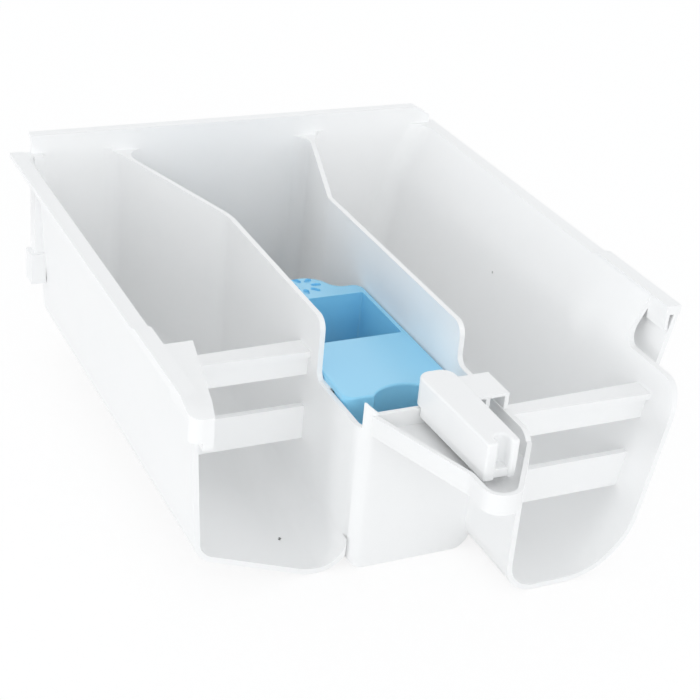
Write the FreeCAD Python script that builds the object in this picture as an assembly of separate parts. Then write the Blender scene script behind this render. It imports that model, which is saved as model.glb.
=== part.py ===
import FreeCAD, Part
import math
import os

from FreeCAD import Vector

# A washing machine's detergent drawer tray. -Y is its back, where the water carries the detergent out,
# +Y its front, where a panel is fixed, +X is right and +Z up.
# The origin lies on the floor under the middle of the whole.

# Whole tray
WIDTH = 190.0
LENGTH = 246.0
RAIL_HEIGHT = 89.0
WALL = 2.0

# Side troughs: how far each reaches back from the front edge, and the end view of each
LEFT_REACH = 188.0
RIGHT_REACH = 220.0
FLOOR_RADIUS = 10.0
FRONT_RADIUS = 8.0
LEFT_FLARE_DROP = 13.0
LEFT_FLARE_IN = 6.5
LEFT_WALL_LEAN = 3.6
LEFT_CORNER_HEIGHT = 17.0
LEFT_CORNER_RADIUS = 7.0
LEFT_FLOOR_FLAT = 15.0
LEFT_FLOOR_RADIUS = 20.0
RIGHT_FLARE_HEIGHT = 68.0
RIGHT_FLARE_IN = 10.3
RIGHT_FLARE_RADIUS = 40.0
RIGHT_WALL_LEAN = 12.0
RIGHT_FLOOR_RADIUS = 26.0

# Dividers: their places across, how wide the left trough is in front, how far the right one splays,
# and the bend between
LEFT_DIVIDER_X = -24.0
LEFT_FRONT_WIDTH = 43.4
LEFT_KNEE_IN = 62.0
RIGHT_DIVIDER_X = 22.2
RIGHT_SPLAY = 12.5
RIGHT_KNEE_IN = 55.0
KNEE_RADIUS = 16.0
DIVIDER_DROP = 8.7
DIVIDER_FRONT_DROP = 1.5
DIVIDER_TOP_RADIUS = 5.0
LEFT_CUT_LENGTH = 35.0
LEFT_CUT_DROP = 32.3
RIGHT_CUT_LENGTH = 50.5
RIGHT_CUT_DROP = 24.0
CUT_RADIUS = 4.0

# Right wall's lowered end
NOTCH_LENGTH = 37.0
NOTCH_DROP = 16.5
NOTCH_RADIUS = 6.0
NOTCH_END_RADIUS = 11.0

# Middle chamber: how far it stands out behind the left trough, and its roundings
BUCKET_OUT = 1.8
BUCKET_FRONT_RADIUS = 6.0
BUCKET_BACK_RADIUS = 4.0
BUCKET_CORNER_RADIUS = 6.0
BUCKET_FLOOR_RADIUS = 3.5
BUCKET_SIDE_RADIUS = 6.5
BUCKET_BACK_DROP = 27.0
PEAK_RISE = 4.5
PEAK_WIDTH = 5.0

# Front plate with its lip, legs and feet
PLATE_THICK = 3.0
PLATE_RISE = 7.5
PLATE_DROP = 55.0
PLATE_LEFT_INSET = 8.3
PLATE_RIGHT_INSET = 3.3
PLATE_CHAMFER_WIDTH = 7.0
PLATE_CHAMFER_DROP = 4.0
LIP_DEPTH = 5.0
LIP_THICK = 2.2
LEG_WIDTH = 4.0
LEG_DEPTH = 4.0
FOOT_WIDTH = 6.0
FOOT_DEPTH = 5.5
FOOT_HEIGHT = 13.0

# Rails: the left one reaches out behind its trough, the right one stops short of its own
RAIL_WIDTH = 5.7
RAIL_THICK = 2.0
LEFT_RAIL_OUT = 27.0
RIGHT_RAIL_IN = 26.0
PAD_RISE = 1.4
PAD_RAMP = 4.0
LEAD_LENGTH = 10.0
LEAD_DROP = 3.4
LEAD_RADIUS = 4.0
LEFT_PAD_LENGTH = 58.0
RIGHT_PAD_LENGTH = 50.0
GUSSET_LENGTH = 44.5
GUSSET_WIDTH = 10.7
GUSSET_START = 1.8
STOP_THICK = 3.0
STOP_HEIGHT = 10.5
HOOK_DROP = 2.5
HOOK_WIDTH = 3.5
WEB_THICK = 2.0
SKIRT_LENGTH = 32.0
SKIRT_HEIGHT = 23.0
SKIRT_INSET = 0.5
SKIRT_LEAN = 4.3
SKIRT_WEB_HEIGHT = 6.0
SKIRT_WEB_THICK = 1.4

# Splash bars
UPPER_BAR_DROP = 24.5
UPPER_BAR_HEIGHT = 10.0
FLANGE_DEPTH = 6.2
FLANGE_WIDEN = 1.4
FLANGE_LIP = 1.8
LEFT_LOWER_BAR_DROP = 47.5
RIGHT_LOWER_BAR_DROP = 48.3
LOWER_BAR_HEIGHT = 13.5
BAR_THICK = 2.4
LEFT_BAR_IN = 43.0
RIGHT_BAR_IN = 14.0

# Latch tray behind the middle chamber
LATCH_DEPTH = 7.6
LATCH_FLOOR = 1.8
LATCH_RIM = 1.6
LATCH_START = 4.5
LATCH_LEFT_X = -4.9
LATCH_TIP_WIDTH = 8.4
LATCH_TIP_LENGTH = 13.0
LATCH_BEND_RADIUS = 8.0
LATCH_TIP_RADIUS = 5.0

# Release lever on its pin
LEVER_LEFT_X = -3.5
LEVER_WIDTH = 13.4
LEVER_TAPER = 1.4
LEVER_TIP_IN = 13.0
LEVER_SLANT = 4.0
LEVER_OVER = 4.0
LEVER_RISE = 11.0
LEVER_WALL = 2.0
LEVER_RADIUS = 5.0
LEVER_TIP_RADIUS = 1.0
LEVER_EDGE = 0.9
LEVER_SWING = 3.5
LEVER_GAP = 0.6
SLOT_WIDTH = 5.0
SLOT_LENGTH = 5.6
SLOT_DEPTH = 10.5
LEFT_PRONG = 4.0
RIGHT_PRONG = 2.8
WING_LENGTH = 15.0
WING_REACH = 12.2
WING_THICK = 2.0
WING_RIB_DROP = 5.0
WING_RIB_THICK = 1.6
WING_RIB_IN = 3.4
WING_BACK = 1.2
PIN_RADIUS = 2.0
PIN_CLEARANCE = 0.3
PIN_IN = 5.0
PIN_RISE = 3.5
BRACKET_WIDTH = 5.0
BRACKET_WALL = 2.0
SNAP_WIDTH = 3.2

# Siphon insert, and the ledges and standpipe that it sits on and over
DECK_HEIGHT = 59.0
DECK_THICK = 2.0
DECK_BACK_GAP = 15.3
DECK_LENGTH = 81.8
DECK_RADIUS = 4.0
DECK_EDGE = 0.8
INSERT_CLEARANCE = 0.4
TAB_X = -1.5
TAB_BASE = 24.0
TAB_TOP = 14.0
TAB_REACH = 10.5
TAB_BLEND = 6.0
TAB_RADIUS = 10.0
PETAL_COUNT = 7
PETAL_RING = 5.0
PETAL_LENGTH = 4.2
PETAL_WIDTH = 2.3
PETAL_DEPTH = 0.9
PETAL_OUT = 3.4
CUP_FRONT_IN = 7.3
CUP_LENGTH = 34.5
CUP_SIDE = 2.2
CUP_DEPTH = 26.0
CUP_WALL = 1.6
CUP_RADIUS = 0.8
SKIRT_DROP = 14.0
SKIRT_WALL = 1.8
SKIRT_RETURN = 9.0
RECESS_X = -1.0
RECESS_RADIUS = 14.0
RECESS_DEPTH = 5.0
PIPE_IN = 20.0
PIPE_RADIUS = 6.0
PIPE_BORE = 8.4
PIPE_HEIGHT = 44.0
CAP_GAP = 2.4
CAP_WALL = 1.8
CAP_FOOT_GAP = 4.0
LEDGE_WIDTH = 2.5
LEDGE_HEIGHT = 2.5
LEDGE_BACK_LENGTH = 24.0
LEDGE_FRONT_LENGTH = 5.0
LEDGE_BACK_IN = 12.0

# Room past the solids that a cut or a trimmed bar needs, the smallest length that counts,
# and the kind of offset that keeps sharp corners sharp
CLEAR = 30.0
HAIR = 0.01
OFFSET_JOINS = ("arcs", "tangents", "intersections")
JOIN_SHARP = OFFSET_JOINS.index("intersections")

FRONT = LENGTH / 2
BACK = -LENGTH / 2
SIDE = WIDTH / 2
FRONT_WALL = FRONT - LIP_DEPTH
LEFT_BACK = FRONT - LEFT_REACH
RIGHT_BACK = FRONT - RIGHT_REACH
BUCKET_BACK = LEFT_BACK - BUCKET_OUT
LEFT_DIVIDER_FRONT_X = -SIDE + LEFT_FRONT_WIDTH
RIGHT_DIVIDER_FRONT_X = RIGHT_DIVIDER_X + RIGHT_SPLAY
LEFT_KNEE = FRONT - LEFT_KNEE_IN
RIGHT_KNEE = FRONT - RIGHT_KNEE_IN
LEFT_RAIL_BACK = LEFT_BACK - LEFT_RAIL_OUT
RIGHT_RAIL_BACK = RIGHT_BACK + RIGHT_RAIL_IN
DIVIDER_TOP = RAIL_HEIGHT - DIVIDER_DROP
DIVIDER_FRONT_TOP = RAIL_HEIGHT - DIVIDER_FRONT_DROP
LATCH_TOP = RAIL_HEIGHT - BUCKET_BACK_DROP
LATCH_BASE = LATCH_TOP - LATCH_DEPTH
TALL = RAIL_HEIGHT + CLEAR
HALF_WALL = WALL / 2
PIN_Y = LEFT_BACK - PIN_IN
PIN_Z = LATCH_TOP + PIN_RISE
PIN_BORE_RADIUS = PIN_RADIUS + PIN_CLEARANCE
LEVER_RIGHT_X = LEVER_LEFT_X + LEVER_WIDTH
LEVER_TIP_Y = BACK + LEVER_TIP_IN
LEVER_TOP = LATCH_TOP + LEVER_RISE
LEVER_TRAVEL = (PIN_Y - LEVER_TIP_Y) * math.sin(math.radians(LEVER_SWING))
LEVER_BASE = LATCH_BASE + LATCH_FLOOR + LEVER_TRAVEL + LEVER_GAP
DECK_BACK = BUCKET_BACK + WALL + DECK_BACK_GAP
DECK_FRONT = DECK_BACK + DECK_LENGTH
DECK_BASE = DECK_HEIGHT - DECK_THICK
DECK_LEFT = LEFT_DIVIDER_X + HALF_WALL + INSERT_CLEARANCE
DECK_RIGHT = RIGHT_DIVIDER_X - HALF_WALL - INSERT_CLEARANCE
PIPE_X = (DECK_LEFT + DECK_RIGHT) / 2
PIPE_Y = DECK_BACK + PIPE_IN
X_AXIS = Vector(1, 0, 0)
Y_AXIS = Vector(0, 1, 0)
Z_AXIS = Vector(0, 0, 1)


def in_plan(u, v):
    return Vector(u, v, 0)


def in_end_view(u, v):
    return Vector(u, 0, v)


def in_side_view(u, v):
    return Vector(0, u, v)


def rounded_face(corners, place):
    """Face of a polygon of (u, v, radius) corners, each rounded by its tangent arc."""
    spans = []
    for index, (u, v, radius) in enumerate(corners):
        here = Vector(u, v, 0)
        before = corners[index - 1]
        after = corners[(index + 1) % len(corners)]
        back = (Vector(before[0], before[1], 0) - here).normalize()
        ahead = (Vector(after[0], after[1], 0) - here).normalize()
        half = back.getAngle(ahead) / 2
        reach = radius / math.tan(half)
        inward = (back + ahead).normalize() * (radius / math.sin(half) - radius)
        spans.append((here + back * reach, here + inward, here + ahead * reach, radius))
    edges = []
    for index, (start, middle, end, radius) in enumerate(spans):
        if radius:
            arc = [place(point.x, point.y) for point in (start, middle, end)]
            edges.append(Part.Arc(*arc).toShape())
        following = spans[(index + 1) % len(spans)][0]
        if end.distanceToPoint(following) > HAIR:
            edges.append(Part.makeLine(place(end.x, end.y), place(following.x, following.y)))
    return Part.Face(Part.Wire(edges))


def prism(corners, place, start, end, grow=0.0):
    """A rounded polygon, grown if asked, carried along its own normal from start to end."""
    face = rounded_face(corners, place)
    if grow:
        face = face.makeOffset2D(grow, JOIN_SHARP)
    along = {in_plan: Z_AXIS, in_end_view: Y_AXIS, in_side_view: X_AXIS}[place]
    face.translate(along * start)
    return face.extrude(along * (end - start))


def block(x0, x1, y0, y1, z0, z1):
    return Part.makeBox(x1 - x0, y1 - y0, z1 - z0, Vector(x0, y0, z0))


def floor_edges(body, outline, height):
    """Edges at a height that follow a plan outline, apart from those straight across."""
    found = []
    for edge in body.Edges:
        room = edge.BoundBox
        level = abs(room.ZMin - height) < HAIR and abs(room.ZMax - height) < HAIR
        if not level or room.YLength < HAIR:
            continue
        middle = edge.valueAt((edge.FirstParameter + edge.LastParameter) / 2)
        if outline.distToShape(Part.Vertex(middle.x, middle.y, 0))[0] < HAIR:
            found.append(edge)
    return found


def front_edges(body):
    """Edges where a trough's hollow meets the front wall, apart from those of its open top."""
    found = []
    for edge in body.Edges:
        room = edge.BoundBox
        if room.YMin > FRONT_WALL - HAIR and room.ZMin < TALL - HAIR:
            found.append(edge)
    return found


def side_trough(plan, end_view, grow):
    """A side trough's hollow, or grown by the wall its outside: plan and end view in common."""
    outline = rounded_face(plan, in_plan)
    if grow:
        outline = outline.makeOffset2D(grow, JOIN_SHARP)
    body = outline.extrude(Z_AXIS * TALL)
    body = body.common(prism(end_view, in_end_view, BACK - CLEAR, FRONT + CLEAR, grow))
    edges = floor_edges(body, outline.OuterWire, WALL - grow)
    body = body.makeFillet(FLOOR_RADIUS + grow, edges)
    if grow:
        return body
    return body.makeFillet(FRONT_RADIUS, front_edges(body))


def left_trough(grow=0.0):
    """The left trough: leaning outer wall with a flared top, floor sloping down to the divider."""
    back = LEFT_BACK - CLEAR
    divider = LEFT_DIVIDER_X - HALF_WALL
    plan = [
        (-SIDE - CLEAR, back, 0),
        (divider, back, 0),
        (divider, LEFT_KNEE, KNEE_RADIUS),
        (LEFT_DIVIDER_FRONT_X - HALF_WALL, FRONT_WALL, 0),
        (-SIDE - CLEAR, FRONT_WALL, 0),
    ]
    top = -SIDE + RAIL_WIDTH
    flare = top + LEFT_FLARE_IN
    end_view = [
        (top, TALL, 0),
        (top, RAIL_HEIGHT, 0),
        (flare, RAIL_HEIGHT - LEFT_FLARE_DROP, 0),
        (flare + LEFT_WALL_LEAN, LEFT_CORNER_HEIGHT, LEFT_CORNER_RADIUS),
        (LEFT_DIVIDER_X - LEFT_FLOOR_FLAT, WALL, LEFT_FLOOR_RADIUS),
        (SIDE, WALL, 0),
        (SIDE, TALL, 0),
    ]
    return side_trough(plan, end_view, grow)


def right_trough(grow=0.0):
    """The right trough: it reaches further back, and its outer wall sweeps into the floor."""
    back = RIGHT_BACK - CLEAR
    divider = RIGHT_DIVIDER_X + HALF_WALL
    plan = [
        (divider, back, 0),
        (SIDE + CLEAR, back, 0),
        (SIDE + CLEAR, FRONT_WALL, 0),
        (RIGHT_DIVIDER_FRONT_X + HALF_WALL, FRONT_WALL, 0),
        (divider, RIGHT_KNEE, KNEE_RADIUS),
    ]
    top = SIDE - RAIL_WIDTH
    flare = top - RIGHT_FLARE_IN
    end_view = [
        (-SIDE, TALL, 0),
        (-SIDE, WALL, 0),
        (flare - RIGHT_WALL_LEAN, WALL, RIGHT_FLOOR_RADIUS),
        (flare, RIGHT_FLARE_HEIGHT, RIGHT_FLARE_RADIUS),
        (top, RAIL_HEIGHT, 0),
        (top, TALL, 0),
    ]
    return side_trough(plan, end_view, grow)


def bucket(grow=0.0):
    """The middle chamber: closed all round, wide in front, with a rounded floor. Outside, its corners
    are square, so that they run into the other walls, and its long floor edges are rounder."""
    left = LEFT_DIVIDER_X + HALF_WALL
    right = RIGHT_DIVIDER_X - HALF_WALL
    back = BUCKET_BACK + WALL
    front_radius = 0 if grow else BUCKET_FRONT_RADIUS
    back_radius = 0 if grow else BUCKET_BACK_RADIUS
    plan = [
        (left, back, back_radius),
        (right, back, back_radius),
        (right, RIGHT_KNEE, KNEE_RADIUS),
        (RIGHT_DIVIDER_FRONT_X - HALF_WALL, FRONT_WALL, front_radius),
        (LEFT_DIVIDER_FRONT_X + HALF_WALL, FRONT_WALL, front_radius),
        (left, LEFT_KNEE, KNEE_RADIUS),
    ]
    floor = WALL - grow
    body = prism(plan, in_plan, floor, TALL, grow)
    edges = [edge for edge in body.Edges if edge.BoundBox.ZMax < floor + HAIR]
    if not grow:
        return body.makeFillet(BUCKET_FLOOR_RADIUS, edges)
    long_edges = [edge for edge in edges if edge.BoundBox.YLength > HAIR]
    return body.makeFillet(BUCKET_SIDE_RADIUS, long_edges)


def bucket_corner():
    """What is taken off to round the middle chamber's back corner on the left trough's side."""
    left = LEFT_DIVIDER_X - HALF_WALL
    centre = Vector(left + BUCKET_CORNER_RADIUS, BUCKET_BACK + BUCKET_CORNER_RADIUS, 0)
    corner = block(left, centre.x, BUCKET_BACK - WALL, centre.y, 0, TALL)
    return corner.cut(Part.makeCylinder(BUCKET_CORNER_RADIUS, TALL, centre))


def divider_relief(low_end, cut_y, knee):
    """Side view of all that lies above a divider: from its low end over a step to its top and its rise."""
    cut_z = low_end[-1][1]
    return low_end + [
        (cut_y, cut_z, CUT_RADIUS),
        (cut_y, DIVIDER_TOP, DIVIDER_TOP_RADIUS),
        (knee, DIVIDER_TOP, 0),
        (FRONT_WALL, DIVIDER_FRONT_TOP, 0),
        (FRONT_WALL, TALL, 0),
        (low_end[0][0], TALL, 0),
    ]


def reliefs():
    """What is taken off above the dividers, the middle chamber's back wall and the right wall's end."""
    left_end = [(BUCKET_BACK + WALL, RAIL_HEIGHT - LEFT_CUT_DROP, 0)]
    left = divider_relief(left_end, LEFT_BACK + LEFT_CUT_LENGTH, LEFT_KNEE)
    right_cut = RAIL_HEIGHT - RIGHT_CUT_DROP
    right_end = [
        (RIGHT_BACK - CLEAR, right_cut - CLEAR, 0),
        (RIGHT_BACK, right_cut - CLEAR, 0),
        (RIGHT_BACK, right_cut, NOTCH_RADIUS),
    ]
    right = divider_relief(right_end, RIGHT_BACK + RIGHT_CUT_LENGTH, RIGHT_KNEE)
    notch_z = RAIL_HEIGHT - NOTCH_DROP
    notch_y = RIGHT_BACK + NOTCH_LENGTH
    notch = [
        (RIGHT_BACK - CLEAR, notch_z - CLEAR, 0),
        (RIGHT_BACK, notch_z - CLEAR, 0),
        (RIGHT_BACK, notch_z, NOTCH_END_RADIUS),
        (notch_y, notch_z, NOTCH_RADIUS),
        (notch_y, TALL, 0),
        (RIGHT_BACK - CLEAR, TALL, 0),
    ]
    wall_start = LEFT_DIVIDER_X + HALF_WALL
    wall = [
        (wall_start - 2 * WALL, TALL, 0),
        (wall_start - 2 * WALL, LATCH_TOP + PEAK_RISE, 0),
        (wall_start, LATCH_TOP + PEAK_RISE, 0),
        (wall_start + PEAK_WIDTH, LATCH_TOP, 0),
        (RIGHT_DIVIDER_X - HALF_WALL, LATCH_TOP, 0),
        (RIGHT_DIVIDER_X - HALF_WALL, TALL, 0),
    ]
    return [
        prism(left, in_side_view, LEFT_DIVIDER_FRONT_X - WALL, LEFT_DIVIDER_X + WALL),
        prism(right, in_side_view, RIGHT_DIVIDER_X - WALL, RIGHT_DIVIDER_FRONT_X + WALL),
        prism(notch, in_side_view, RIGHT_DIVIDER_FRONT_X + WALL, SIDE),
        prism(wall, in_end_view, BUCKET_BACK - WALL, BUCKET_BACK + WALL + BUCKET_BACK_RADIUS),
        bucket_corner(),
    ]


def front_plate():
    """The plate that takes the front panel: a lipped top, one sloped corner, a leg and foot at each end."""
    left = -SIDE + PLATE_LEFT_INSET
    right = SIDE - PLATE_RIGHT_INSET
    top = RAIL_HEIGHT + PLATE_RISE
    low = RAIL_HEIGHT - PLATE_DROP
    outline = [
        (left, low, 0),
        (right, low, 0),
        (right, top - PLATE_CHAMFER_DROP, 0),
        (right - PLATE_CHAMFER_WIDTH, top, 0),
        (left, top, 0),
    ]
    plate = prism(outline, in_end_view, FRONT_WALL, FRONT_WALL + PLATE_THICK)
    lip = prism(outline, in_end_view, FRONT_WALL, FRONT)
    under = prism(outline, in_end_view, FRONT_WALL, FRONT)
    under.translate(Z_AXIS * -LIP_THICK)
    pieces = [lip.cut(under)]
    foot_top = low + FOOT_HEIGHT
    for inner, outer, foot in (
        (left + LEG_WIDTH, left, left + LEG_WIDTH - FOOT_WIDTH),
        (right - LEG_WIDTH, right, right - LEG_WIDTH + FOOT_WIDTH),
    ):
        leg = sorted((inner, outer))
        pad = sorted((inner, foot))
        pieces.append(block(*leg, FRONT_WALL - LEG_DEPTH, FRONT_WALL, foot_top, RAIL_HEIGHT))
        pieces.append(block(*pad, FRONT_WALL - FOOT_DEPTH, FRONT_WALL + PLATE_THICK, low, foot_top))
    return plate.multiFuse(pieces)


def rail(x0, back, pad_length):
    """A flat rail whose back part stands a little higher, with a short ramp between."""
    low = RAIL_HEIGHT - RAIL_THICK
    top = RAIL_HEIGHT + PAD_RISE
    pad_end = back + pad_length
    view = [
        (back, low, 0),
        (FRONT_WALL + PLATE_THICK, low, 0),
        (FRONT_WALL + PLATE_THICK, RAIL_HEIGHT, 0),
        (pad_end, RAIL_HEIGHT, 0),
        (pad_end - PAD_RAMP, top, 0),
        (back, top, 0),
    ]
    return prism(view, in_side_view, x0, x0 + RAIL_WIDTH)


def left_rail():
    """The left rail, its gusset, web and hooked stop, trimmed to the dip and round corner of its back end."""
    left = -SIDE
    inner = left + RAIL_WIDTH
    back = LEFT_RAIL_BACK
    low = RAIL_HEIGHT - RAIL_THICK
    stop_low = RAIL_HEIGHT - STOP_HEIGHT
    gusset = [
        (inner - RAIL_THICK, back, 0),
        (inner + GUSSET_START, back, 0),
        (inner + GUSSET_WIDTH, back + GUSSET_LENGTH, 0),
        (inner - RAIL_THICK, back + GUSSET_LENGTH, 0),
    ]
    stop_end = inner + GUSSET_START
    pieces = [
        prism(gusset, in_plan, low, RAIL_HEIGHT),
        block(inner - WEB_THICK, inner, back, LEFT_BACK + WALL, stop_low, low),
        block(left, stop_end, back, back + STOP_THICK, stop_low, low),
        block(stop_end - HOOK_WIDTH, stop_end, back, back + STOP_THICK, stop_low - HOOK_DROP, stop_low),
    ]
    whole = rail(left, back, LEFT_PAD_LENGTH).multiFuse(pieces)
    top = RAIL_HEIGHT + PAD_RISE
    dip = [
        (back, top - LEAD_DROP, 0),
        (back + LEAD_LENGTH, top, 0),
        (back, top, 0),
    ]
    centre = Vector(left + LEAD_RADIUS, back + LEAD_RADIUS, 0)
    corner = block(left, centre.x, back, centre.y, 0, TALL)
    corner = corner.cut(Part.makeCylinder(LEAD_RADIUS, TALL, centre))
    return whole.cut([prism(dip, in_side_view, left, SIDE), corner])


def right_rail():
    """The right rail with the leaning skirt and the short inner web at its back end."""
    low = RAIL_HEIGHT - RAIL_THICK
    inner = SIDE - RAIL_WIDTH
    skirt_x = SIDE - SKIRT_INSET
    skirt_low = RAIL_HEIGHT - SKIRT_HEIGHT
    skirt = [
        (skirt_x, low, 0),
        (skirt_x - WALL, low, 0),
        (skirt_x - WALL - SKIRT_LEAN, skirt_low, 0),
        (skirt_x - SKIRT_LEAN, skirt_low, 0),
    ]
    web_end = RIGHT_BACK + NOTCH_LENGTH
    web = block(inner, inner + SKIRT_WEB_THICK, RIGHT_RAIL_BACK, web_end, low - SKIRT_WEB_HEIGHT, low)
    whole = rail(inner, RIGHT_RAIL_BACK, RIGHT_PAD_LENGTH)
    return whole.multiFuse([
        prism(skirt, in_end_view, RIGHT_RAIL_BACK, RIGHT_RAIL_BACK + SKIRT_LENGTH),
        web,
    ])


def splash_bars(hull, start, left, right, lower_drop):
    """The two bars across a trough's open end, let into both walls: above, a blade under a flange that
    widens to the right both ways, and below, a plain blade."""
    upper = RAIL_HEIGHT - UPPER_BAR_DROP
    lower = RAIL_HEIGHT - lower_drop
    flange = [
        (left, start, 0),
        (right, start - FLANGE_LIP, 0),
        (right, start + FLANGE_DEPTH + FLANGE_WIDEN, 0),
        (left, start + FLANGE_DEPTH, 0),
    ]
    blades = [
        block(left, right, start, start + BAR_THICK, upper - UPPER_BAR_HEIGHT, upper),
        prism(flange, in_plan, upper - BAR_THICK, upper),
        block(left, right, start, start + BAR_THICK, lower - LOWER_BAR_HEIGHT, lower),
    ]
    return [blade.common(hull) for blade in blades]


def latch_tray(hollows):
    """The shallow rimmed tray that carries the lever, narrowing to a round tip, with the lever's bracket."""
    right = RIGHT_DIVIDER_X
    tip = BACK + LATCH_RIM
    plan = [
        (LEFT_DIVIDER_X + LATCH_START, BUCKET_BACK + HALF_WALL, 0),
        (LATCH_LEFT_X, tip + LATCH_TIP_LENGTH, LATCH_BEND_RADIUS),
        (LATCH_LEFT_X, tip, LATCH_TIP_RADIUS),
        (LATCH_LEFT_X + LATCH_TIP_WIDTH, tip, LATCH_TIP_RADIUS),
        (right - HALF_WALL, RIGHT_BACK, 0),
        (right - HALF_WALL, BUCKET_BACK + HALF_WALL, 0),
    ]
    tray = prism(plan, in_plan, LATCH_BASE, LATCH_TOP, LATCH_RIM)
    tray = tray.cut(prism(plan, in_plan, LATCH_BASE + LATCH_FLOOR, TALL))
    tray = tray.cut(hollows)
    middle = (LEVER_LEFT_X + LEVER_RIGHT_X) / 2
    radius = PIN_BORE_RADIUS + BRACKET_WALL
    start = Vector(middle - BRACKET_WIDTH / 2, PIN_Y, PIN_Z)
    bracket = Part.makeCylinder(radius, BRACKET_WIDTH, start, X_AXIS)
    end_x = start.x + BRACKET_WIDTH
    foot = LATCH_BASE + LATCH_FLOOR / 2
    post = block(start.x, end_x, PIN_Y - radius, PIN_Y + radius, foot, PIN_Z)
    bore = Part.makeCylinder(PIN_BORE_RADIUS, BRACKET_WIDTH, start, X_AXIS)
    half_snap = SNAP_WIDTH / 2
    snap = block(start.x, end_x, PIN_Y - half_snap, PIN_Y + half_snap, PIN_Z, PIN_Z + radius)
    return tray.fuse(bracket.fuse(post).cut([bore, snap]))


def insert_seat():
    """The ledges that the insert's deck rests on, behind its cup and in front of it, on both dividers."""
    low = DECK_BASE - LEDGE_HEIGHT
    back = DECK_BACK + LEDGE_BACK_IN
    left = LEFT_DIVIDER_X
    right = RIGHT_DIVIDER_X
    ledges = []
    for start, end in ((back, back + LEDGE_BACK_LENGTH), (DECK_FRONT - LEDGE_FRONT_LENGTH, DECK_FRONT)):
        ledges.append(block(left, left + HALF_WALL + LEDGE_WIDTH, start, end, low, DECK_BASE))
        ledges.append(block(right - HALF_WALL - LEDGE_WIDTH, right, start, end, low, DECK_BASE))
    return ledges


def drawer_tray():
    """The whole white moulding."""
    hollows = [left_trough(), right_trough(), bucket()]
    left = left_trough(WALL).common(block(-SIDE, SIDE, LEFT_BACK, FRONT, 0, RAIL_HEIGHT))
    right = right_trough(WALL).common(block(-SIDE, SIDE, RIGHT_BACK, FRONT, 0, RAIL_HEIGHT))
    middle = bucket(WALL).common(block(-SIDE, SIDE, BUCKET_BACK, FRONT, 0, RAIL_HEIGHT))
    shell = left.multiFuse([right, middle])
    shell = shell.cut(hollows + reliefs())
    plate = front_plate()
    bars = splash_bars(left, LEFT_BACK + LEFT_BAR_IN, -SIDE, LEFT_DIVIDER_X, LEFT_LOWER_BAR_DROP)
    bars += splash_bars(right, RIGHT_BACK + RIGHT_BAR_IN, RIGHT_DIVIDER_X, SIDE, RIGHT_LOWER_BAR_DROP)
    pipe_foot = Vector(PIPE_X, PIPE_Y, 0)
    pipe = Part.makeCylinder(PIPE_RADIUS, PIPE_HEIGHT, pipe_foot)
    rails = [left_rail(), right_rail()]
    shell = shell.multiFuse([plate] + rails + bars + [latch_tray(hollows), pipe] + insert_seat())
    shell = shell.cut(Part.makeCylinder(PIPE_BORE / 2, PIPE_HEIGHT, pipe_foot))
    return shell.removeSplitter()


def insert_outline():
    """The insert's plan: a deck with a round tab in front and a finger recess at the back."""
    tab_front = DECK_FRONT + TAB_REACH
    plan = [
        (DECK_LEFT, DECK_BACK, DECK_RADIUS),
        (DECK_RIGHT, DECK_BACK, DECK_RADIUS),
        (DECK_RIGHT, DECK_FRONT, DECK_RADIUS),
        (TAB_X + TAB_BASE / 2, DECK_FRONT, TAB_BLEND),
        (TAB_X + TAB_TOP / 2, tab_front, TAB_RADIUS),
        (TAB_X - TAB_TOP / 2, tab_front, TAB_RADIUS),
        (TAB_X - TAB_BASE / 2, DECK_FRONT, TAB_BLEND),
        (DECK_LEFT, DECK_FRONT, DECK_RADIUS),
    ]
    face = rounded_face(plan, in_plan)
    centre = Vector(RECESS_X, DECK_BACK + RECESS_DEPTH - RECESS_RADIUS, 0)
    recess = Part.Face(Part.Wire(Part.makeCircle(RECESS_RADIUS, centre)))
    return face.cut(recess).Faces[0]


def petal_recesses():
    """A ring of small radial recesses in the tab."""
    half_width = PETAL_WIDTH / 2
    start = PETAL_RING - PETAL_LENGTH / 2
    end = PETAL_RING + PETAL_LENGTH / 2
    round_end = half_width - HAIR
    corners = [
        (start, -half_width, round_end),
        (end, -half_width, round_end),
        (end, half_width, round_end),
        (start, half_width, round_end),
    ]
    petals = []
    for index in range(PETAL_COUNT):
        petal = prism(corners, in_plan, DECK_HEIGHT - PETAL_DEPTH, DECK_HEIGHT + CLEAR)
        petal.rotate(Vector(), Z_AXIS, index * 360.0 / PETAL_COUNT)
        petal.translate(Vector(TAB_X, DECK_FRONT + PETAL_OUT, 0))
        petals.append(petal)
    return petals


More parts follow.
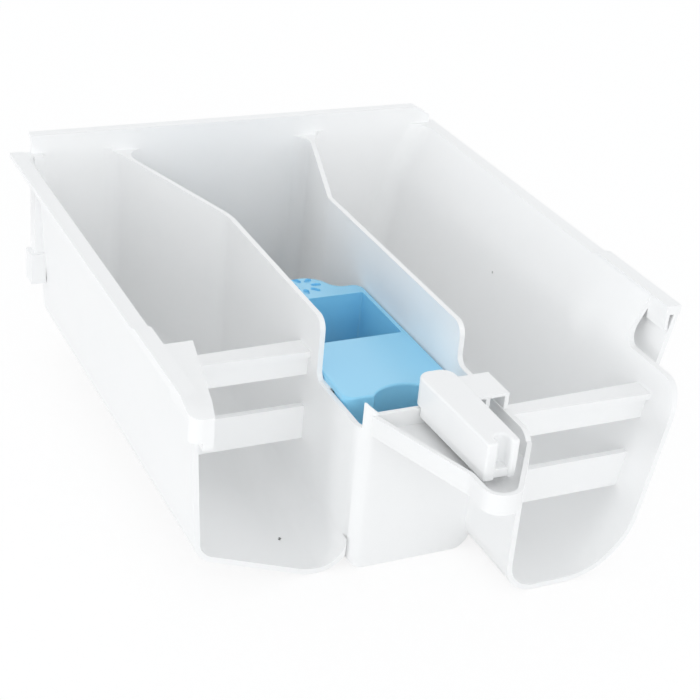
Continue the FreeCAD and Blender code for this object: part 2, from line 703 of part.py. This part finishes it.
def siphon_insert():
    """The blue insert: deck, filling cup open below, back skirt and the cap over the standpipe."""
    face = insert_outline()
    outline = face.copy()
    outline.translate(Z_AXIS * DECK_BASE)
    deck = outline.extrude(Z_AXIS * DECK_THICK)
    rim = [edge for edge in deck.Edges if edge.BoundBox.ZMin > DECK_HEIGHT - HAIR]
    deck = deck.makeFillet(DECK_EDGE, rim)
    skirt_low = DECK_BASE - SKIRT_DROP
    skirt = face.cut(face.makeOffset2D(-SKIRT_WALL, JOIN_SHARP))
    skirt.translate(Z_AXIS * skirt_low)
    skirt = skirt.extrude(Z_AXIS * SKIRT_DROP)
    kept = block(
        DECK_LEFT, DECK_RIGHT, DECK_BACK, DECK_BACK + SKIRT_RETURN, skirt_low, DECK_BASE
    )
    skirt = skirt.common(kept)
    cup_front = DECK_FRONT - CUP_FRONT_IN
    cup_back = cup_front - CUP_LENGTH
    cup_plan = [
        (DECK_LEFT + CUP_SIDE, cup_back, CUP_RADIUS),
        (DECK_RIGHT - CUP_SIDE, cup_back, CUP_RADIUS),
        (DECK_RIGHT - CUP_SIDE, cup_front, CUP_RADIUS),
        (DECK_LEFT + CUP_SIDE, cup_front, CUP_RADIUS),
    ]
    cup_low = DECK_HEIGHT - CUP_DEPTH
    cup = prism(cup_plan, in_plan, cup_low, DECK_BASE, CUP_WALL)
    opening = prism(cup_plan, in_plan, cup_low, DECK_HEIGHT)
    cap_inner = PIPE_RADIUS + CAP_GAP
    cap_foot = Vector(PIPE_X, PIPE_Y, WALL + CAP_FOOT_GAP)
    cap_tall = DECK_BASE - cap_foot.z
    cap = Part.makeCylinder(cap_inner + CAP_WALL, cap_tall, cap_foot)
    cap = cap.cut(Part.makeCylinder(cap_inner, cap_tall, cap_foot))
    insert = deck.multiFuse([skirt, cup, cap])
    return insert.cut([opening] + petal_recesses()).removeSplitter()


def release_lever():
    """The hollow lever: side walls and top, a scooped tip, a ribbed wing and a cross pin near its front."""
    front = LEFT_BACK + LEVER_OVER
    tip_left = LEVER_LEFT_X + LEVER_TAPER
    slot_left = tip_left + LEFT_PRONG
    slot_right = slot_left + SLOT_WIDTH
    tip_right = slot_right + RIGHT_PRONG
    slot_start = LEVER_TIP_Y + LEVER_TIP_RADIUS
    slot_end = LEVER_TIP_Y + SLOT_LENGTH
    half_slot = SLOT_WIDTH / 2 - HAIR
    tip = [
        (tip_left, LEVER_TIP_Y, LEVER_TIP_RADIUS),
        (slot_left, LEVER_TIP_Y, LEVER_TIP_RADIUS),
        (slot_left, slot_end, half_slot),
        (slot_right, slot_end, half_slot),
        (slot_right, LEVER_TIP_Y, LEVER_TIP_RADIUS),
        (tip_right, LEVER_TIP_Y, LEVER_TIP_RADIUS),
    ]
    sides = [
        (LEVER_RIGHT_X, LEVER_TIP_Y + LEVER_SLANT, LEVER_TIP_RADIUS),
        (LEVER_RIGHT_X, front, LEVER_RADIUS),
        (LEVER_LEFT_X, front, LEVER_RADIUS),
    ]
    body = prism(tip + sides, in_plan, LEVER_BASE, LEVER_TOP)
    rim = [edge for edge in body.Edges if edge.BoundBox.ZMin > LEVER_TOP - HAIR]
    body = body.makeFillet(LEVER_EDGE, rim)
    hollow = prism([tip[0], tip[-1]] + sides, in_plan, LEVER_BASE, LEVER_TOP - LEVER_WALL, -LEVER_WALL)
    solid_tip = block(
        LEVER_LEFT_X, LEVER_RIGHT_X, LEVER_TIP_Y, slot_end + LEVER_WALL, LEVER_BASE, LEVER_TOP
    )
    body = body.cut(hollow.cut(solid_tip))
    over_wall = block(
        LEVER_LEFT_X, LEVER_RIGHT_X, BUCKET_BACK - LEVER_GAP, front, LEVER_BASE, LATCH_TOP + LEVER_GAP
    )
    body = body.cut(over_wall)
    wing_front = LEFT_BACK - WING_BACK
    wing_back = wing_front - WING_LENGTH
    wing_low = LEVER_TOP - WING_THICK
    wing_end = LEVER_RIGHT_X + WING_REACH
    wing_root = LEVER_RIGHT_X - LEVER_WALL
    pieces = [
        block(wing_root, wing_end, wing_back, wing_front, wing_low, LEVER_TOP - LEVER_EDGE),
        block(slot_left, slot_right, slot_start, slot_end, LEVER_BASE, LEVER_TOP - SLOT_DEPTH),
    ]
    for rib_x in (wing_end - WING_RIB_THICK, LEVER_RIGHT_X + WING_RIB_IN):
        pieces.append(
            block(rib_x, rib_x + WING_RIB_THICK, wing_back, wing_front, wing_low - WING_RIB_DROP, wing_low)
        )
    pin_start = Vector(LEVER_LEFT_X + LEVER_WALL / 2, PIN_Y, PIN_Z)
    pieces.append(Part.makeCylinder(PIN_RADIUS, LEVER_WIDTH - LEVER_WALL, pin_start, X_AXIS))
    return body.multiFuse(pieces).removeSplitter()


os.makedirs("parts", exist_ok=True)
for name, shape in (
    ("drawer_tray", drawer_tray()),
    ("siphon_insert", siphon_insert()),
    ("release_lever", release_lever()),
):
    solids = shape.Solids
    print(name, len(solids), "solids", shape.isValid(), [round(s.Volume) for s in solids], shape.BoundBox)
    shape.exportStep(f"parts/{name}.step")
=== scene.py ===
import math

import bmesh
import bpy
from mathutils import Euler, Matrix, Vector


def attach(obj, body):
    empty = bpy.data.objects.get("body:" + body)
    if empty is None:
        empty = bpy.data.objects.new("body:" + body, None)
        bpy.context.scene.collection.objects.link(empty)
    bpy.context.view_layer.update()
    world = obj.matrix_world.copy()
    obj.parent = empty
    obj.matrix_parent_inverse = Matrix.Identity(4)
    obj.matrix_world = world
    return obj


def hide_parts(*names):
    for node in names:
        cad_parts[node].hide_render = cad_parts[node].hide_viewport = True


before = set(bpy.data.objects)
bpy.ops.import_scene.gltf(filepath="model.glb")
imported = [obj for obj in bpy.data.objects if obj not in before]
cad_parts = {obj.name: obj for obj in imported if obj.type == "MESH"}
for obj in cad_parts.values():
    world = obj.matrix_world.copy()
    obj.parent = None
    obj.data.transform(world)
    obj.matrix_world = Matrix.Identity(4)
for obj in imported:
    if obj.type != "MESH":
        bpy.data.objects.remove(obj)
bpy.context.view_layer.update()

scene = bpy.context.scene
scene.view_settings.view_transform = "Standard"

# Drawer tray: one white polypropylene moulding with three troughs, two bent dividers, rails and a latch tray.
# It leaves the mould with every outside edge slightly rolled over, and with a fine spark-eroded grain.
# Three burnt specks sit in its plastic.

tray_roll = 0.0004
merge_gap = 2e-6
flat_turn = math.radians(0.4)
edge_turn = math.radians(35)
crease_turn = math.radians(32)


def settle(piece):
    """Puts what a piece's modifiers make in place of its mesh."""
    made = bpy.data.meshes.new_from_object(piece.evaluated_get(bpy.context.evaluated_depsgraph_get()))
    piece.modifiers.clear()
    piece.data = made


def rolled_edges(node, name, roll):
    """A copy of a CAD solid for the eye: points that coincide are merged, flat facets joined to whole faces,
    and each edge that turns more than the edge angle is rolled over by two small flats of the given width."""
    shell = bmesh.new()
    shell.from_mesh(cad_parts[node].data)
    bmesh.ops.remove_doubles(shell, verts=shell.verts, dist=merge_gap)
    bmesh.ops.dissolve_limit(shell, angle_limit=flat_turn, verts=shell.verts, edges=shell.edges)
    mesh = bpy.data.meshes.new(name)
    shell.to_mesh(mesh)
    shell.free()
    piece = bpy.data.objects.new(name, mesh)
    scene.collection.objects.link(piece)
    roller = piece.modifiers.new("rolled edge", "BEVEL")
    roller.width = roll
    roller.segments = 2
    roller.limit_method = "ANGLE"
    roller.angle_limit = edge_turn
    roller.use_clamp_overlap = True
    settle(piece)
    piece.data.shade_smooth()
    piece.data.set_sharp_from_angle(angle=crease_turn)
    flats = piece.modifiers.new("flat faces stay flat", "WEIGHTED_NORMAL")
    flats.weight = 100
    flats.keep_sharp = True
    settle(piece)
    piece.data.name = name
    piece.data.materials.clear()
    return piece


def moulding_grain_group():
    """Grain of a moulded surface: fine noise for the spark-eroded skin, slow noise drawn out along the
    drawer for the way the melt flowed, and a patchy mask for handling."""
    group = bpy.data.node_groups.new("moulding_grain", "ShaderNodeTree")
    sides = group.interface
    sides.new_socket("Grain Scale", in_out="INPUT", socket_type="NodeSocketFloat")
    sides.new_socket("Skin", in_out="OUTPUT", socket_type="NodeSocketFloat")
    sides.new_socket("Flow", in_out="OUTPUT", socket_type="NodeSocketFloat")
    sides.new_socket("Handling", in_out="OUTPUT", socket_type="NodeSocketFloat")
    nodes = group.nodes
    links = group.links
    entry = nodes.new("NodeGroupInput")
    leave = nodes.new("NodeGroupOutput")
    place = nodes.new("ShaderNodeTexCoord")
    skin = nodes.new("ShaderNodeTexNoise")
    skin.inputs["Detail"].default_value = 3.0
    skin.inputs["Roughness"].default_value = 0.6
    links.new(place.outputs["Object"], skin.inputs["Vector"])
    links.new(entry.outputs["Grain Scale"], skin.inputs["Scale"])
    links.new(skin.outputs["Fac"], leave.inputs["Skin"])
    drawn = nodes.new("ShaderNodeMapping")
    drawn.inputs["Scale"].default_value = (1.0, 0.22, 0.7)
    flow = nodes.new("ShaderNodeTexNoise")
    flow.inputs["Scale"].default_value = 38.0
    flow.inputs["Detail"].default_value = 2.0
    links.new(place.outputs["Object"], drawn.inputs["Vector"])
    links.new(drawn.outputs["Vector"], flow.inputs["Vector"])
    links.new(flow.outputs["Fac"], leave.inputs["Flow"])
    patch = nodes.new("ShaderNodeTexNoise")
    patch.inputs["Scale"].default_value = 90.0
    patch.inputs["Detail"].default_value = 6.0
    patch.inputs["Roughness"].default_value = 0.68
    ramp = nodes.new("ShaderNodeMapRange")
    ramp.inputs["From Min"].default_value = 0.52
    ramp.inputs["From Max"].default_value = 0.72
    links.new(place.outputs["Object"], patch.inputs["Vector"])
    links.new(patch.outputs["Fac"], ramp.inputs["Value"])
    links.new(ramp.outputs["Result"], leave.inputs["Handling"])
    return group


moulding_grain = moulding_grain_group()
handling_share = 0.5
grain_depth = 0.0001


def moulded_plastic(name, pale, deep, worn, grain_scale, smooth, rough, bump):
    """A moulded plastic: two shades mixed by the flow, a third by handling, gloss that follows the flow, and
    the skin's grain as a bump."""
    material = bpy.data.materials.new(name)
    material.use_nodes = True
    nodes = material.node_tree.nodes
    links = material.node_tree.links
    shader = nodes["Principled BSDF"]
    grain = nodes.new("ShaderNodeGroup")
    grain.node_tree = moulding_grain
    grain.inputs["Grain Scale"].default_value = grain_scale
    shades = nodes.new("ShaderNodeMix")
    shades.data_type = "RGBA"
    shades.inputs["A"].default_value = (*pale, 1)
    shades.inputs["B"].default_value = (*deep, 1)
    links.new(grain.outputs["Flow"], shades.inputs["Factor"])
    faint = nodes.new("ShaderNodeMath")
    faint.operation = "MULTIPLY"
    faint.inputs[1].default_value = handling_share
    links.new(grain.outputs["Handling"], faint.inputs[0])
    handled = nodes.new("ShaderNodeMix")
    handled.data_type = "RGBA"
    handled.inputs["B"].default_value = (*worn, 1)
    links.new(faint.outputs["Value"], handled.inputs["Factor"])
    links.new(shades.outputs["Result"], handled.inputs["A"])
    links.new(handled.outputs["Result"], shader.inputs["Base Color"])
    gloss = nodes.new("ShaderNodeMapRange")
    gloss.inputs["From Min"].default_value = 0.3
    gloss.inputs["From Max"].default_value = 0.7
    gloss.inputs["To Min"].default_value = smooth
    gloss.inputs["To Max"].default_value = rough
    links.new(grain.outputs["Flow"], gloss.inputs["Value"])
    links.new(gloss.outputs["Result"], shader.inputs["Roughness"])
    relief = nodes.new("ShaderNodeBump")
    relief.inputs["Strength"].default_value = bump
    relief.inputs["Distance"].default_value = grain_depth
    links.new(grain.outputs["Skin"], relief.inputs["Height"])
    links.new(relief.outputs["Normal"], shader.inputs["Normal"])
    return material


def add_specks(material, specks):
    """Burnt specks in the melt: within its radius of each given point the colour falls off to the speck's
    own, by the distance of the surface from that point."""
    nodes = material.node_tree.nodes
    links = material.node_tree.links
    shader = nodes["Principled BSDF"]
    place = nodes.new("ShaderNodeTexCoord")
    for centre, radius, colour in specks:
        span = nodes.new("ShaderNodeVectorMath")
        span.operation = "DISTANCE"
        span.inputs[1].default_value = centre
        links.new(place.outputs["Object"], span.inputs[0])
        edge = nodes.new("ShaderNodeMapRange")
        edge.interpolation_type = "SMOOTHSTEP"
        edge.inputs["From Min"].default_value = radius
        edge.inputs["From Max"].default_value = 0.5 * radius
        links.new(span.outputs["Value"], edge.inputs["Value"])
        stained = nodes.new("ShaderNodeMix")
        stained.data_type = "RGBA"
        stained.inputs["B"].default_value = (*colour, 1)
        links.new(edge.outputs["Result"], stained.inputs["Factor"])
        links.new(shader.inputs["Base Color"].links[0].from_socket, stained.inputs["A"])
        links.new(stained.outputs["Result"], shader.inputs["Base Color"])


tray = rolled_edges("drawer_tray", "white_tray", tray_roll)
white_moulding = moulded_plastic(
    "white_moulding",
    pale=(0.962, 0.967, 0.968),
    deep=(0.948, 0.955, 0.957),
    worn=(0.93, 0.94, 0.943),
    grain_scale=2600.0,
    smooth=0.36,
    rough=0.46,
    bump=0.25,
)
burnt_black = (0.03, 0.03, 0.03)
burnt_grey = (0.55, 0.55, 0.54)
add_specks(white_moulding, [
    ((-0.0416, -0.0456, 0.0027), 0.0008, burnt_black),
    ((-0.0421, -0.0465, 0.0033), 0.0007, burnt_black),
    ((0.0775, 0.0267, 0.0596), 0.0007, burnt_grey),
])
tray.data.materials.append(white_moulding)
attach(tray, "drawer")
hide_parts("drawer_tray")

# Siphon insert: a sky-blue moulding that drops on two ledges in the middle chamber and lifts out for
# cleaning. Its cap covers the standpipe, and its cup lets the softener through. It comes glossier from its
# mould than the tray does.

insert_roll = 0.0004
insert = rolled_edges("siphon_insert", "blue_insert", insert_roll)
blue_moulding = moulded_plastic(
    "blue_moulding",
    pale=(0.285, 0.715, 1.0),
    deep=(0.275, 0.705, 0.995),
    worn=(0.278, 0.708, 0.995),
    grain_scale=2200.0,
    smooth=0.29,
    rough=0.34,
    bump=0.15,
)
blue_shader = blue_moulding.node_tree.nodes["Principled BSDF"]
blue_shader.inputs["Coat Weight"].default_value = 0.6
blue_shader.inputs["Coat Roughness"].default_value = 0.18
blue_shader.inputs["Specular IOR Level"].default_value = 0.85
insert.data.materials.append(blue_moulding)
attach(insert, "drawer")
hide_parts("siphon_insert")

# Release lever: a hollow white moulding on a cross pin in the latch tray. A thumb presses its back end down
# to let the drawer past the stop in its housing. It is a shade glossier than the tray.

lever_roll = 0.0005
lever = rolled_edges("release_lever", "white_lever", lever_roll)
white_lever = moulded_plastic(
    "white_lever",
    pale=(0.962, 0.967, 0.969),
    deep=(0.948, 0.955, 0.958),
    worn=(0.93, 0.94, 0.944),
    grain_scale=2600.0,
    smooth=0.32,
    rough=0.42,
    bump=0.2,
)
lever.data.materials.append(white_lever)
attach(lever, "lever")
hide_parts("release_lever")

# Floor: a wide pale matt sheet just under the drawer. Seen straight or in a reflection it is lifted to white
# and keeps only a faint shadow. To all other light it stays the pale sheet that it is.

floor_reach = 6.0
floor_drop = 0.0002
floor_corners = [
    (-floor_reach, -floor_reach, -floor_drop),
    (floor_reach, -floor_reach, -floor_drop),
    (floor_reach, floor_reach, -floor_drop),
    (-floor_reach, floor_reach, -floor_drop),
]
floor_mesh = bpy.data.meshes.new("floor")
floor_mesh.from_pydata(floor_corners, [], [(0, 1, 2, 3)])
floor = bpy.data.objects.new("floor", floor_mesh)
scene.collection.objects.link(floor)
pale_sheet = bpy.data.materials.new("pale_sheet")
pale_sheet.use_nodes = True
sheet_nodes = pale_sheet.node_tree.nodes
sheet_links = pale_sheet.node_tree.links
sheet_nodes.clear()
matt = sheet_nodes.new("ShaderNodeBsdfDiffuse")
matt.inputs["Color"].default_value = (0.82, 0.82, 0.82, 1)
thin_matt = sheet_nodes.new("ShaderNodeBsdfDiffuse")
thin_matt.inputs["Color"].default_value = (0.2, 0.2, 0.2, 1)
lift = sheet_nodes.new("ShaderNodeEmission")
lift.inputs["Strength"].default_value = 0.82
seen_sheet = sheet_nodes.new("ShaderNodeAddShader")
rays = sheet_nodes.new("ShaderNodeLightPath")
direct = sheet_nodes.new("ShaderNodeMath")
direct.operation = "MAXIMUM"
seen = sheet_nodes.new("ShaderNodeMath")
seen.operation = "MAXIMUM"
choose = sheet_nodes.new("ShaderNodeMixShader")
out = sheet_nodes.new("ShaderNodeOutputMaterial")
sheet_links.new(rays.outputs["Is Camera Ray"], direct.inputs[0])
sheet_links.new(rays.outputs["Is Glossy Ray"], direct.inputs[1])
sheet_links.new(direct.outputs["Value"], seen.inputs[0])
sheet_links.new(rays.outputs["Is Transmission Ray"], seen.inputs[1])
sheet_links.new(thin_matt.outputs["BSDF"], seen_sheet.inputs[0])
sheet_links.new(lift.outputs["Emission"], seen_sheet.inputs[1])
sheet_links.new(seen.outputs["Value"], choose.inputs["Fac"])
sheet_links.new(matt.outputs["BSDF"], choose.inputs[1])
sheet_links.new(seen_sheet.outputs["Shader"], choose.inputs[2])
sheet_links.new(choose.outputs["Shader"], out.inputs["Surface"])
floor_mesh.materials.append(pale_sheet)

# Light: a white room that is brighter at its walls than overhead, one large soft lamp on the camera's side,
# and a small low one from the left. The room is plain white where the camera sees it straight.

wall_strength = 1.3
ceiling_strength = 0.68
seen_strength = 1.0
tray_middle = Vector((0, 0, 0.05))
room = bpy.data.worlds.new("room")
scene.world = room
room.use_nodes = True
room_nodes = room.node_tree.nodes
room_links = room.node_tree.links
walls = room_nodes["Background"]
walls.inputs["Color"].default_value = (0.98, 0.99, 1.0, 1)
heading = room_nodes.new("ShaderNodeTexCoord")
upward = room_nodes.new("ShaderNodeSeparateXYZ")
climb = room_nodes.new("ShaderNodeMapRange")
climb.inputs["To Min"].default_value = wall_strength
climb.inputs["To Max"].default_value = ceiling_strength
room_rays = room_nodes.new("ShaderNodeLightPath")
strength = room_nodes.new("ShaderNodeMix")
strength.inputs["B"].default_value = seen_strength
room_links.new(heading.outputs["Generated"], upward.inputs["Vector"])
room_links.new(upward.outputs["Z"], climb.inputs["Value"])
room_links.new(room_rays.outputs["Is Camera Ray"], strength.inputs["Factor"])
room_links.new(climb.outputs["Result"], strength.inputs["A"])
room_links.new(strength.outputs["Result"], walls.inputs["Strength"])


def soft_lamp(name, watts, size, place):
    """A square lamp at a place, turned to look at the tray's middle with its upper side up."""
    lamp = bpy.data.lights.new(name, "AREA")
    lamp.energy = watts
    lamp.size = size
    holder = bpy.data.objects.new(name, lamp)
    scene.collection.objects.link(holder)
    aim = tray_middle - Vector(place)
    holder.matrix_world = Matrix.LocRotScale(Vector(place), aim.to_track_quat("-Z", "Y"), None)


soft_lamp("front_lamp", watts=2.0, size=0.7, place=(-0.3, -1.45, 0.55))
soft_lamp("left_lamp", watts=2.5, size=0.22, place=(-1.5, -0.5, 0.09))

# Camera: where the photograph was taken from, above the open back of the drawer and to its left.
# Its lens is a long one, and it leans a few degrees to one side.

camera_place = Vector((-0.24398, -0.477, 0.33404))
camera_tilt = math.radians(61.908)
camera_lean = math.radians(-4.9203)
camera_heading = math.radians(-24.7237)
lens = bpy.data.cameras.new("camera")
lens.sensor_width = 36.0
lens.lens = 83.36
lens.clip_start = 0.01
camera = bpy.data.objects.new("camera", lens)
scene.collection.objects.link(camera)
camera_turn = Euler((camera_tilt, camera_lean, camera_heading))
camera.matrix_world = Matrix.LocRotScale(camera_place, camera_turn, None)
scene.camera = camera
